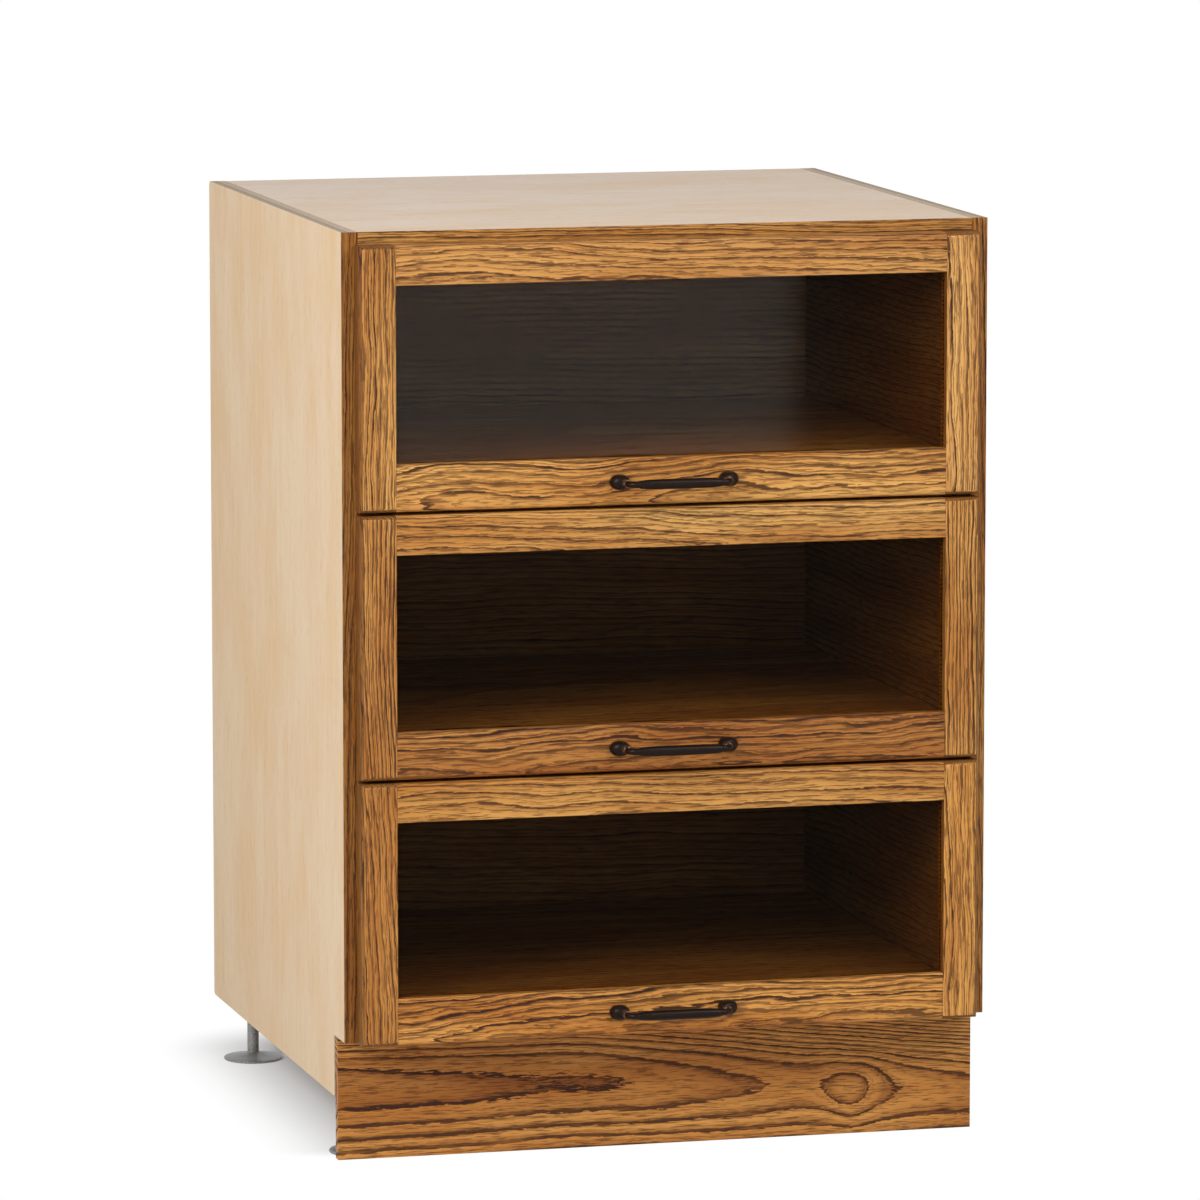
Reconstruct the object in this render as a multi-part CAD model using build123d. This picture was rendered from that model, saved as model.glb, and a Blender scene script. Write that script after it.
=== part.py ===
from build123d import *
from math import cos, radians, sin
import os

# Kitchen base cabinet with three glass-fronted drawers, in millimetres.
# X runs across the cabinet, -Y is the front and Z is up from the floor.
# The origin is on the floor, below the middle of the overall box.

# Carcass boards
CABINET_WIDTH = 600.0
CABINET_HEIGHT = 846.0
CARCASS_DEPTH = 565.0
PANEL = 15.0             # thickness of the sides, the top and the bottom
SIDE_FLOOR_GAP = 58.0    # floor to the lower edge of the sides
TOE_HEIGHT = 114.5       # floor to the underside of the bottom
TOE_DEPTH = 43.0         # notch for the plinth in the front of the sides
SIDE_CORNER = 5.0        # rounding of the rear corners of the sides
EDGE_BAND = 2.0          # oak strip on the front edges
BACK_THICKNESS = 4.0
BACK_INSET = 8.0         # rear edge of the sides to the back panel
GROOVE_DEPTH = 7.0       # grooves that hold the back and the drawer floors
GROOVE_FIT = 0.2         # how much wider a groove is than the board in it

# Loose tongues between the sides and the top and bottom
TONGUE_LENGTH = 60.0
TONGUE_THICKNESS = 5.0
TONGUE_IN_PANEL = 18.0
TONGUE_COVER = 5.0       # wood left outside a tongue in a side
TONGUE_END = 90.0        # front and rear edge of the carcass to the tongues
TONGUE_FIT = 0.1

# Drawer fronts: an oak frame round a pane of glass
DRAWERS = ("lower", "middle", "upper")
DRAWER_GAP = 3.0
FRONT_SIDE_REVEAL = 11.5
FRONT_TOP_REVEAL = 11.0
FRONT_DROP = 0.5         # lowest front below the underside of the bottom
FRONT_GAP = 1.5          # carcass to the back of the fronts
FRONT_THICKNESS = 20.0
FRONT_ROUND = 5.0        # rounding of the outer front edges
STILE_WIDTH = 33.0
TOP_RAIL = 35.5
BOTTOM_RAIL = 43.0
TENON_LENGTH = 12.0
TENON_THICKNESS = 7.0
TENON_SHOULDER = 4.0
TENON_FIT = 0.1
GLASS_LIP = 9.0          # wood in front of the glass
GLASS_THICKNESS = 4.0
GLASS_PLAY = 0.8         # gap round the glass in its rebate
REBATE_WIDTH = 8.0
BEAD_ROUND = 3.0

# Drawer boxes
BOX_LENGTH = 460.0
BOX_BOARD = 15.0
BOX_CLEARANCE = 4.5      # lowest box above the bottom of the carcass
BOX_TOP_DROP = 30.0      # top of a front to the top of its box
BOX_EDGE_ROUND = 2.0
BOX_HOUSING = 5.0        # depth that the back is let into the sides
BOX_TONGUE = 4.0         # thickness of the tongue of a box side in a stile
BOX_TONGUE_LENGTH = 6.0
FLOOR_THICKNESS = 8.0
FLOOR_DROP = 3.0         # top of the bottom rail to the drawer floor

# Telescopic slides with three members on each side of a drawer
SLIDE_THICKNESS = 12.7
SLIDE_LENGTH = 450.0
SLIDE_SETBACK = 4.0      # carcass front to the slides
SLIDE_RISE = 94.0        # lower edge of a box to the middle of its slides
SLIDE_HEIGHT = 45.0
SLIDE_SHEET = 1.2
SLIDE_PLAY = 0.3         # running gap between nested members
CHANNEL_DEPTH = 10.0     # cabinet member, from the side panel
LINK_SETBACK = 3.4       # side panel to the middle member
LINK_DEPTH = 7.2
RAIL_DEPTH = 7.5         # drawer member, from the drawer box
SLIDE_BEND = 2.0

# Bow handles
HANDLE_CENTRES = 101.4
HANDLE_REACH = 25.7      # drawer front to the axis of the bar
HANDLE_BEND = 8.0
BAR_RADIUS = 4.6
BAR_TAPER = 20.0         # length of the taper at each end of the bar
NECK_RADIUS = 2.9
NECK_SHIFT = 3.5         # middle of a rose to its neck, inwards
COLLAR_RADIUS = 3.9
COLLAR_WIDTH = 1.8
ROSE_DEPTH = 13.6        # up and down the rail
ROSE_STRETCH = 2.2       # half of what its width is more
ROSE_FOOT = 1.6
ROSE_HEIGHT = 10.5
HANDLE_SIDES = 20

# Levelling legs
FOOT_RADIUS = 28.0
FOOT_SIDES = 36
FOOT_RIM = 2.5
FOOT_CROWN = 6.5
FOOT_CROWN_RADIUS = 8.0
FOOT_GAP = 1.0           # plinth to the feet
STEM_RADIUS = 5.5
STEM_FIT = 0.06
STEM_END_GAP = 1.0
SOCKET_RADIUS = 9.0
SOCKET_LENGTH = 50.0
SOCKET_PLATE = 2.5
PLATE_DEPTH = 54.0
PLATE_REACH = 47.0       # leg axis to the inner end of the plate
PLATE_CORNER = 6.0
LEG_REAR_INSET = 37.0
LEG_SIDE_GAP = 2.0

# Plinth board and its clips
PLINTH_THICKNESS = 10.0
PLINTH_END_GAP = 1.0
PLINTH_FLOOR_GAP = 1.0
PLINTH_TOP_GAP = 1.0
CLIP_WALL = 4.0
CLIP_MOUTH = 13.0
CLIP_JAW = 14.0
CLIP_BASE = 3.0
CLIP_BASE_HEIGHT = 42.0

# Planes that the pieces share
HALF_WIDTH = CABINET_WIDTH / 2
INNER = HALF_WIDTH - PANEL
FRONT_REACH = FRONT_GAP + FRONT_THICKNESS + HANDLE_REACH + BAR_RADIUS
CARCASS_BACK = (CARCASS_DEPTH + FRONT_REACH) / 2
CARCASS_FRONT = CARCASS_BACK - CARCASS_DEPTH
BACK_FACE = CARCASS_BACK - BACK_INSET - BACK_THICKNESS
FRONT_BACK = CARCASS_FRONT - FRONT_GAP
FRONT_FACE = FRONT_BACK - FRONT_THICKNESS
GLASS_FACE = FRONT_FACE + GLASS_LIP
BEAD_FACE = GLASS_FACE + GLASS_THICKNESS
FRONT_BASE = TOE_HEIGHT - FRONT_DROP
FRONT_PITCH = (CABINET_HEIGHT - FRONT_TOP_REVEAL - FRONT_BASE + DRAWER_GAP) / len(DRAWERS)
FRONT_HEIGHT = FRONT_PITCH - DRAWER_GAP
FRONT_HALF = HALF_WIDTH - FRONT_SIDE_REVEAL
OPENING_HALF = FRONT_HALF - STILE_WIDTH
OPENING_TOP = FRONT_HEIGHT - TOP_RAIL
BOX_OUTER = INNER - SLIDE_THICKNESS
BOX_INNER = BOX_OUTER - BOX_BOARD
BOX_BASE = FRONT_DROP + PANEL + BOX_CLEARANCE
BOX_TOP = FRONT_HEIGHT - BOX_TOP_DROP
BOX_END = FRONT_BACK + BOX_LENGTH
FLOOR_TOP = BOTTOM_RAIL - FLOOR_DROP
SLIDE_FRONT = CARCASS_FRONT + SLIDE_SETBACK
SLIDE_MIDDLE = BOX_BASE + SLIDE_RISE
CHANNEL_HALF = SLIDE_HEIGHT / 2
LINK_HALF = CHANNEL_HALF - SLIDE_SHEET - SLIDE_PLAY
RAIL_HALF = LINK_HALF - SLIDE_SHEET - SLIDE_PLAY
CLIP_OUTER = SOCKET_RADIUS + CLIP_WALL
LEG_X = INNER - CLIP_OUTER - LEG_SIDE_GAP
LEG_FRONT = CARCASS_FRONT + TOE_DEPTH + FOOT_GAP + FOOT_RADIUS
LEG_REAR = CARCASS_BACK - LEG_REAR_INSET
PLATE_FACE = TOE_HEIGHT - SOCKET_PLATE
PLINTH_BACK = CARCASS_FRONT + TOE_DEPTH
CLIP_MIDDLE = PLATE_FACE - SOCKET_LENGTH / 2
BOARD_LEVELS = (TOE_HEIGHT + PANEL / 2, CABINET_HEIGHT - PANEL / 2)
SIDES = {"left": -1, "right": 1}


def board(x, y, z):
    """A square-edged board between a low and a high value on each axis."""
    spans = [sorted(span) for span in (x, y, z)]
    centre = [sum(span) / 2 for span in spans]
    return Pos(*centre) * Box(*[high - low for low, high in spans])


def round_bar(plane, radius, start, end):
    """A round bar along the plane's normal, between two distances from it."""
    return plane * Pos(0, 0, (start + end) / 2) * Cylinder(radius, end - start)


def mirrored(side, low, high):
    """A span across X, measured outwards from the middle of the cabinet."""
    return side * low, side * high


# Where the drawers, legs and tongues sit

def front_base(index):
    """Height of the lower edge of one drawer front."""
    return FRONT_BASE + index * FRONT_PITCH


def legs():
    """Axis of each leg, with its name."""
    return {
        f"{row}_{name}": (side, side * LEG_X, y)
        for row, y in (("front", LEG_FRONT), ("rear", LEG_REAR))
        for name, side in SIDES.items()
    }


def carcass_tongues(fit):
    """Every loose tongue of the carcass, or its slot when a fit is given."""
    half = TONGUE_THICKNESS / 2 + fit
    starts = (CARCASS_FRONT + TONGUE_END, CARCASS_BACK - TONGUE_END - TONGUE_LENGTH)
    return [
        board(
            mirrored(side, INNER - TONGUE_IN_PANEL - fit, HALF_WIDTH - TONGUE_COVER + fit),
            (start - fit, start + TONGUE_LENGTH + fit),
            (level - half, level + half),
        )
        for side in SIDES.values()
        for level in BOARD_LEVELS
        for start in starts
    ]


# Carcass

def side_panel(side):
    """One side with round rear corners, notched for the plinth and grooved for the back."""
    front = CARCASS_FRONT + EDGE_BAND
    across = mirrored(side, INNER, HALF_WIDTH)
    panel = board(across, (front, CARCASS_BACK), (SIDE_FLOOR_GAP, CABINET_HEIGHT))
    panel = fillet(panel.edges().filter_by(Axis.X).sort_by(Axis.Y)[-2:], SIDE_CORNER)
    notch = board(across, (front, CARCASS_FRONT + TOE_DEPTH), (SIDE_FLOOR_GAP, TOE_HEIGHT))
    groove = board(
        mirrored(side, INNER, INNER + GROOVE_DEPTH),
        (BACK_FACE, BACK_FACE + BACK_THICKNESS + GROOVE_FIT),
        (SIDE_FLOOR_GAP, CABINET_HEIGHT),
    )
    return panel - [notch, groove, *carcass_tongues(TONGUE_FIT)]


def top_panel():
    """The top between the sides, stopping in front of the back panel."""
    panel = board(
        (-INNER, INNER),
        (CARCASS_FRONT + EDGE_BAND, BACK_FACE),
        (CABINET_HEIGHT - PANEL, CABINET_HEIGHT),
    )
    return panel - carcass_tongues(TONGUE_FIT)


def bottom_panel():
    """The bottom between the sides, which carries the legs."""
    panel = board((-INNER, INNER), (CARCASS_FRONT, BACK_FACE), (TOE_HEIGHT, TOE_HEIGHT + PANEL))
    return panel - carcass_tongues(TONGUE_FIT)


def back_panel():
    """A thin back held in the grooves of the sides."""
    reach = INNER + GROOVE_DEPTH - GROOVE_FIT
    return board(
        (-reach, reach), (BACK_FACE, BACK_FACE + BACK_THICKNESS), (TOE_HEIGHT, CABINET_HEIGHT)
    )


def front_edge_side(side):
    """Oak strip on the front edge of one side."""
    return board(
        mirrored(side, INNER, HALF_WIDTH),
        (CARCASS_FRONT, CARCASS_FRONT + EDGE_BAND),
        (TOE_HEIGHT, CABINET_HEIGHT),
    )


def front_edge_top():
    """Oak strip on the front edge of the top, between the two side strips."""
    return board(
        (-INNER, INNER),
        (CARCASS_FRONT, CARCASS_FRONT + EDGE_BAND),
        (CABINET_HEIGHT - PANEL, CABINET_HEIGHT),
    )


# Legs and plinth

def leg_socket(side, x, y):
    """A flange plate with an offset tube that takes the stem of a foot."""
    outer = x + side * CLIP_OUTER
    inner = x - side * PLATE_REACH
    half = PLATE_DEPTH / 2
    plate = board((inner, outer), (y - half, y + half), (PLATE_FACE, TOE_HEIGHT))
    plate = chamfer(plate.edges().filter_by(Axis.Z), PLATE_CORNER)
    axis = Plane((x, y, PLATE_FACE), z_dir=(0, 0, -1))
    tube = round_bar(axis, SOCKET_RADIUS, 0, SOCKET_LENGTH)
    tube = tube - round_bar(axis, STEM_RADIUS + STEM_FIT, 0, SOCKET_LENGTH)
    return plate + tube


def foot(x, y):
    """A levelling foot: a saucer that rises as a shallow cone to a round stem."""
    saucer = extrude(RegularPolygon(FOOT_RADIUS, FOOT_SIDES), FOOT_CROWN)
    crown = saucer.faces().sort_by(Axis.Z)[-1]
    run = FOOT_RADIUS - FOOT_CROWN_RADIUS
    saucer = chamfer(crown.edges(), run, FOOT_CROWN - FOOT_RIM, reference=crown)
    stem = round_bar(Plane.XY, STEM_RADIUS, FOOT_CROWN, PLATE_FACE - STEM_END_GAP)
    return Pos(x, y, 0) * (saucer + stem)


def plinth_board():
    """The toe board below the drawers."""
    reach = HALF_WIDTH - PLINTH_END_GAP
    return board(
        (-reach, reach),
        (PLINTH_BACK - PLINTH_THICKNESS, PLINTH_BACK),
        (PLINTH_FLOOR_GAP, PLATE_FACE - PLINTH_TOP_GAP),
    )


def plinth_clip(side):
    """A moulded clip: a base on the plinth and a jaw that snaps round the leg."""
    x = side * LEG_X
    across = (x - CLIP_OUTER, x + CLIP_OUTER)
    half_base = CLIP_BASE_HEIGHT / 2
    half_jaw = CLIP_JAW / 2
    jaw_span = (CLIP_MIDDLE - half_jaw, CLIP_MIDDLE + half_jaw)
    base = board(
        across,
        (PLINTH_BACK, PLINTH_BACK + CLIP_BASE),
        (CLIP_MIDDLE - half_base, CLIP_MIDDLE + half_base),
    )
    arm = board(across, (PLINTH_BACK, LEG_FRONT), jaw_span)
    axis = Plane((x, LEG_FRONT, CLIP_MIDDLE))
    jaw = round_bar(axis, CLIP_OUTER, -half_jaw, half_jaw)
    bore = round_bar(axis, SOCKET_RADIUS, -half_jaw, half_jaw)
    mouth = board(
        (x - CLIP_MOUTH / 2, x + CLIP_MOUTH / 2), (LEG_FRONT, LEG_FRONT + CLIP_OUTER), jaw_span
    )
    return base + arm + jaw - [bore, mouth]


# Slides

def slide_member(side, base, web, half_height, depth):
    """One C-section member, its web at a distance from the side panel."""
    reach = web + depth
    inside = web + (SLIDE_SHEET if depth > 0 else -SLIDE_SHEET)
    neck = half_height - SLIDE_SHEET
    outline = Polyline(
        (web, -half_height),
        (reach, -half_height),
        (reach, -neck),
        (inside, -neck),
        (inside, neck),
        (reach, neck),
        (reach, half_height),
        (web, half_height),
        close=True,
    )
    section = make_face(outline)
    bends = section.vertices().sort_by(lambda corner: abs(corner.X - web))[:2]
    section = fillet(bends, SLIDE_BEND)
    start = (side * INNER, SLIDE_FRONT, base + SLIDE_MIDDLE)
    profile = Plane(start, x_dir=(-side, 0, 0), z_dir=(0, side, 0))
    return extrude(profile * section, side * SLIDE_LENGTH)


def slide_channels(base):
    """The pair of members that are screwed to the cabinet, for one drawer."""
    return [slide_member(side, base, 0, CHANNEL_HALF, CHANNEL_DEPTH) for side in SIDES.values()]


def slide_links(base):
    """The pair of middle members, which run half as far as the drawer."""
    return [
        slide_member(side, base, LINK_SETBACK, LINK_HALF, LINK_DEPTH) for side in SIDES.values()
    ]


def slide_rails(base):
    """The pair of members that are screwed to the drawer box."""
    return [
        slide_member(side, base, SLIDE_THICKNESS, RAIL_HALF, -RAIL_DEPTH)
        for side in SIDES.values()
    ]


# Drawer fronts

def tenons(low, high, base, fit):
    """The two stub tenons of a rail, or their mortises when a fit is given."""
    middle = (FRONT_FACE + FRONT_BACK) / 2
    half = TENON_THICKNESS / 2 + fit
    return [
        board(
            mirrored(side, OPENING_HALF, OPENING_HALF + TENON_LENGTH + fit),
            (middle - half, middle + half),
            (base + low - fit, base + high + fit),
        )
        for side in SIDES.values()
    ]


def bottom_tenons(base, fit=0.0):
    """Tenons of a bottom rail, clear of the rebate above them."""
    return tenons(TENON_SHOULDER, BOTTOM_RAIL - REBATE_WIDTH - TENON_SHOULDER, base, fit)


def top_tenons(base, fit=0.0):
    """Tenons of a top rail, clear of the rebate below them."""
    low = OPENING_TOP + REBATE_WIDTH + TENON_SHOULDER
    return tenons(low, FRONT_HEIGHT - TENON_SHOULDER, base, fit)


def glass_rebate(base):
    """The stepped recess in the back of the frame that takes glass and beads."""
    reach = OPENING_HALF + REBATE_WIDTH
    return board(
        (-reach, reach),
        (GLASS_FACE, FRONT_BACK),
        (base + BOTTOM_RAIL - REBATE_WIDTH, base + OPENING_TOP + REBATE_WIDTH),
    )


def side_tongue(side, base, fit):
    """The tongue on the front end of a box side, or its groove when a fit is given."""
    return board(
        mirrored(side, BOX_OUTER - BOX_TONGUE - fit, BOX_OUTER + fit),
        (FRONT_BACK - BOX_TONGUE_LENGTH - fit, FRONT_BACK),
        (base + BOX_BASE - fit, base + BOX_TOP + fit),
    )


def stile(side, base):
    """An upright of the frame, rounded on its three outer front edges."""
    piece = board(
        mirrored(side, OPENING_HALF, FRONT_HALF),
        (FRONT_FACE, FRONT_BACK),
        (base, base + FRONT_HEIGHT),
    )
    face = piece.faces().sort_by(Axis.Y)[0]
    outer = face.edges().sort_by(lambda edge: abs(edge.center().X))[1:]
    piece = fillet(outer, FRONT_ROUND)
    mortises = bottom_tenons(base, TENON_FIT) + top_tenons(base, TENON_FIT)
    return piece - [glass_rebate(base), side_tongue(side, base, TENON_FIT), *mortises]


def rail(base, low, high, outer, tongues):
    """A cross rail of the frame, rounded on its outer front edge."""
    piece = board(
        (-OPENING_HALF, OPENING_HALF),
        (FRONT_FACE, FRONT_BACK),
        (base + low, base + high),
    )
    face = piece.faces().sort_by(Axis.Y)[0]
    piece = fillet(face.edges().filter_by(Axis.X).sort_by(Axis.Z)[outer], FRONT_ROUND)
    piece = piece - glass_rebate(base)
    for tongue in tongues:
        piece = piece + tongue
    return piece


def rail_top(base):
    """The upper rail of a front."""
    return rail(base, OPENING_TOP, FRONT_HEIGHT, -1, top_tenons(base))


def rail_bottom(base):
    """The lower rail of a front, which carries the handle."""
    return rail(base, 0, BOTTOM_RAIL, 0, bottom_tenons(base))


def glass(base):
    """The pane, held between the lip of the frame and the beads."""
    reach = OPENING_HALF + REBATE_WIDTH - GLASS_PLAY
    spare = REBATE_WIDTH - GLASS_PLAY
    return board(
        (-reach, reach),
        (GLASS_FACE, BEAD_FACE),
        (base + BOTTOM_RAIL - spare, base + OPENING_TOP + spare),
    )


def glazing_beads(base):
    """Four beads that fill the rebate behind the glass, rounded towards the drawer."""
    width = REBATE_WIDTH - GROOVE_FIT
    depth = (BEAD_FACE, FRONT_BACK)
    low = base + BOTTOM_RAIL
    high = base + OPENING_TOP
    reach = OPENING_HALF + width
    beads = [
        board((-reach, reach), depth, (low - width, low)),
        board((-reach, reach), depth, (high, high + width)),
        board((-reach, -OPENING_HALF), depth, (low, high)),
        board((OPENING_HALF, reach), depth, (low, high)),
    ]
    centre = Vector(0, 0, (low + high) / 2)
    rounded = []
    for bead in beads:
        back = bead.faces().sort_by(Axis.Y)[-1]
        inner = back.edges().sort_by(lambda edge: (edge.center() - centre).length)[0]
        rounded.append(fillet(inner, BEAD_ROUND))
    return rounded


# Handles

def rose_rings():
    """Shift inwards, distance out, radius and stretch, up an oval rose."""
    rings = [(0, 0, ROSE_DEPTH / 2, ROSE_STRETCH)]
    for angle in (0, 25, 50, 70, 85):
        flat = cos(radians(angle))
        out = ROSE_FOOT + (ROSE_HEIGHT - ROSE_FOOT) * sin(radians(angle))
        radius = NECK_RADIUS + (ROSE_DEPTH / 2 - NECK_RADIUS) * flat
        rings.append((NECK_SHIFT * (1 - flat), out, radius, ROSE_STRETCH * flat))
    return rings


def half_handle_rings():
    """Place across, distance out, heading, radius and stretch, to the full bar."""
    centre = HANDLE_CENTRES / 2
    x = centre - NECK_SHIFT
    collar = HANDLE_REACH - HANDLE_BEND - COLLAR_WIDTH
    rings = [(centre - shift, out, 0, radius, wide) for shift, out, radius, wide in rose_rings()]
    for out, radius in (
        (ROSE_HEIGHT + COLLAR_WIDTH / 2, NECK_RADIUS),
        (collar, NECK_RADIUS),
        (collar + COLLAR_WIDTH / 2, COLLAR_RADIUS),
        (collar + COLLAR_WIDTH, NECK_RADIUS),
    ):
        rings.append((x, out, 0, radius, 0))
    for turn in (22.5, 45, 67.5, 90):
        across = x - HANDLE_BEND * (1 - cos(radians(turn)))
        out = HANDLE_REACH - HANDLE_BEND * (1 - sin(radians(turn)))
        rings.append((across, out, turn, NECK_RADIUS, 0))
    for share in (0.06, 0.2, 0.5, 1.0):
        radius = NECK_RADIUS + (BAR_RADIUS - NECK_RADIUS) * (1 - (1 - share) ** 2) ** 0.5
        rings.append((x - HANDLE_BEND - share * BAR_TAPER, HANDLE_REACH, 90, radius, 0))
    return rings


def handle_ring(x, out, turn, radius, stretch, level):
    """Corners of one ring: a polygon whose two halves stand apart by the stretch."""
    corners = []
    for i in range(HANDLE_SIDES):
        angle = radians(360 * (i + 0.5) / HANDLE_SIDES)
        reach = radius / cos(radians(180 / HANDLE_SIDES))
        across = reach * cos(angle) + (stretch if cos(angle) > 0 else -stretch)
        corners.append((
            x + across * cos(radians(turn)),
            FRONT_FACE - out - across * sin(radians(turn)),
            level + reach * sin(angle),
        ))
    return corners


def handle(base):
    """A bow handle in one casting, with flat faces between its rings."""
    level = base + BOTTOM_RAIL / 2
    half = half_handle_rings()
    other = [(-x, out, 180 - turn, radius, wide) for x, out, turn, radius, wide in reversed(half)]
    rings = [handle_ring(*ring, level) for ring in half + other]
    faces = [Face(Wire.make_polygon(ring)) for ring in (rings[0], rings[-1])]
    for near, far in zip(rings, rings[1:]):
        for i in range(HANDLE_SIDES):
            faces.append(Face(Wire.make_polygon((near[i - 1], near[i], far[i], far[i - 1]))))
    return Solid(Shell(faces))


# Drawer boxes

def drawer_floor(base):
    """The floor board, let into the sides and the back."""
    reach = BOX_INNER + GROOVE_DEPTH - GROOVE_FIT
    end = BOX_END - BOX_BOARD + GROOVE_DEPTH - GROOVE_FIT
    top = base + FLOOR_TOP
    return board((-reach, reach), (FRONT_BACK, end), (top - FLOOR_THICKNESS, top))


def floor_groove(base):
    """The groove for the floor board in the sides and the back."""
    reach = BOX_INNER + GROOVE_DEPTH
    end = BOX_END - BOX_BOARD + GROOVE_DEPTH
    top = base + FLOOR_TOP
    return board((-reach, reach), (FRONT_BACK, end), (top - FLOOR_THICKNESS - GROOVE_FIT, top))


def box_back(base):
    """The back of a drawer box, let into the sides at both ends."""
    reach = BOX_INNER + BOX_HOUSING
    back = board((-reach, reach), (BOX_END - BOX_BOARD, BOX_END), (base + BOX_BASE, base + BOX_TOP))
    top = back.faces().sort_by(Axis.Z)[-1]
    back = fillet(top.edges().filter_by(Axis.X), BOX_EDGE_ROUND)
    return back - floor_groove(base)


def box_side(side, base):
    """One side of a drawer box, with a tongue that enters the stile."""
    span = (base + BOX_BASE, base + BOX_TOP)
    piece = board(mirrored(side, BOX_INNER, BOX_OUTER), (FRONT_BACK, BOX_END), span)
    top = piece.faces().sort_by(Axis.Z)[-1]
    piece = fillet(top.edges().filter_by(Axis.Y), BOX_EDGE_ROUND)
    housing = board(
        mirrored(side, BOX_INNER, BOX_INNER + BOX_HOUSING),
        (BOX_END - BOX_BOARD, BOX_END),
        span,
    )
    piece = piece + side_tongue(side, base, 0.0)
    return piece - [housing, floor_groove(base)]


# Assembly

def drawer_nodes(name, base):
    """Every named piece that belongs to one drawer and its slides."""
    nodes = {
        "rail_top": rail_top(base),
        "rail_bottom": rail_bottom(base),
        "glass": glass(base),
        "glazing_beads": Compound(glazing_beads(base)),
        "handle": handle(base),
        "box_floor": drawer_floor(base),
        "box_back": box_back(base),
        "slide_rails": Compound(slide_rails(base)),
        "slide_links": Compound(slide_links(base)),
    }
    for hand, side in SIDES.items():
        nodes[f"stile_{hand}"] = stile(side, base)
        nodes[f"box_side_{hand}"] = box_side(side, base)
    return {f"{name}_{piece}": shape for piece, shape in nodes.items()}


def cabinet_nodes():
    """Every named piece of the carcass, the legs and the plinth."""
    bases = [front_base(index) for index in range(len(DRAWERS))]
    channels = [member for base in bases for member in slide_channels(base)]
    nodes = {
        "top_panel": top_panel(),
        "bottom_panel": bottom_panel(),
        "back_panel": back_panel(),
        "front_edge_top": front_edge_top(),
        "plinth_board": plinth_board(),
        "plinth_clips": Compound([plinth_clip(side) for side in SIDES.values()]),
        "leg_sockets": Compound([leg_socket(*leg) for leg in legs().values()]),
        "slide_channels": Compound(channels),
        "carcass_tongues": Compound(carcass_tongues(0.0)),
    }
    for hand, side in SIDES.items():
        nodes[f"side_panel_{hand}"] = side_panel(side)
        nodes[f"front_edge_{hand}"] = front_edge_side(side)
    for place, (side, x, y) in legs().items():
        nodes[f"foot_{place}"] = foot(x, y)
    return nodes


def build():
    """All nodes of the cabinet, by name."""
    nodes = cabinet_nodes()
    for index, name in enumerate(DRAWERS):
        nodes.update(drawer_nodes(name, front_base(index)))
    return nodes


os.makedirs("parts", exist_ok=True)
for node, shape in build().items():
    export_step(shape, f"parts/{node}.step")
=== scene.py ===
import math

import bmesh
import bpy
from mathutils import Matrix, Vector


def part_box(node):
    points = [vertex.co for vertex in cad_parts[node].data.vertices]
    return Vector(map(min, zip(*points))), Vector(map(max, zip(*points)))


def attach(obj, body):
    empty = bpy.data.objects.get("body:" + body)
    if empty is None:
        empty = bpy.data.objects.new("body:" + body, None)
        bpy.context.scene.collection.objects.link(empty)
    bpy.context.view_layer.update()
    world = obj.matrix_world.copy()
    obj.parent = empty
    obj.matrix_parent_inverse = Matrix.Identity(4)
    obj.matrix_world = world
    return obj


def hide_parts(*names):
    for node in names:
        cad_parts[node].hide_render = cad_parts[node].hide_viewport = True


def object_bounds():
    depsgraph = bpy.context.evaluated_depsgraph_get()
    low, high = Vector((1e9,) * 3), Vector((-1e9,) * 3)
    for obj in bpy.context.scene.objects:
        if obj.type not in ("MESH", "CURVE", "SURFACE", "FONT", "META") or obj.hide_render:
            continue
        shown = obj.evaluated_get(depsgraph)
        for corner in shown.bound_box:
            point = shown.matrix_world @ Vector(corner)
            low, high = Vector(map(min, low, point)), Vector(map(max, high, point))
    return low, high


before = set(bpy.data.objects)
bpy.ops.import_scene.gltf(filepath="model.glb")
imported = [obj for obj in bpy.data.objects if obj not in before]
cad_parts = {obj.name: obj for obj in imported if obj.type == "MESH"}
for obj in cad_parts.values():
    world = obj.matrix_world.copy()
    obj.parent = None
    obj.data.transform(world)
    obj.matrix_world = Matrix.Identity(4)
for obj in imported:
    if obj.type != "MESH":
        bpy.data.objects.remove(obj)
cad_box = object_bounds()

# Carcass boards: two sides, a top, a bottom and a thin back of birch-veneered board.
# The veneer is varnished matt, and its grain runs up the sides and across the top.
# Loose tongues, glued into slots, hold the sides to the top and the bottom.
BOARD_EASING = 0.0004
SAME_POINT = 1e-5
FLAT_TURN = math.radians(1)
SHARP_TURN = math.radians(40)
FACE_LIMIT = 0.9
BIRCH_LIGHT = (0.725, 0.550, 0.368, 1)
BIRCH_WARM = (0.680, 0.445, 0.220, 1)
BIRCH_FLECK = (0.46, 0.29, 0.145, 1)
BIRCH_PATCH_CELLS = (7, 16, 16)
BIRCH_DRIFT_CELLS = (2, 4, 4)
BIRCH_STREAK_CELLS = (10, 140, 140)
BIRCH_FLECK_CELLS = (80, 520, 520)
BIRCH_PATCHES = 0.62
BIRCH_STREAKS = 0.14
BIRCH_FLECKS = 0.24
BIRCH_ROUGH = (0.50, 0.60)
TOP_SHEEN = 0.04
# The top's tone is paler and bluer than the sides': a painted sheen for the bright surround that it
# reflects.
TOP_PAINTED_SHEEN_TONE = (1.23, 1.35, 1.69)
CHIP_LIGHT = (0.60, 0.48, 0.36, 1)
CHIP_DARK = (0.44, 0.34, 0.25, 1)
CHIP_SEAM = (0.17, 0.115, 0.075, 1)
CHIP_CELLS = 420.0
CHIP_GRAIN_CELLS = (900, 900, 900)
CHIP_ROUGHNESS = 0.75
CHIP_SEAM_DEPTH = 0.0055
CHIP_SEAM_EASE = 0.0005
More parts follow.
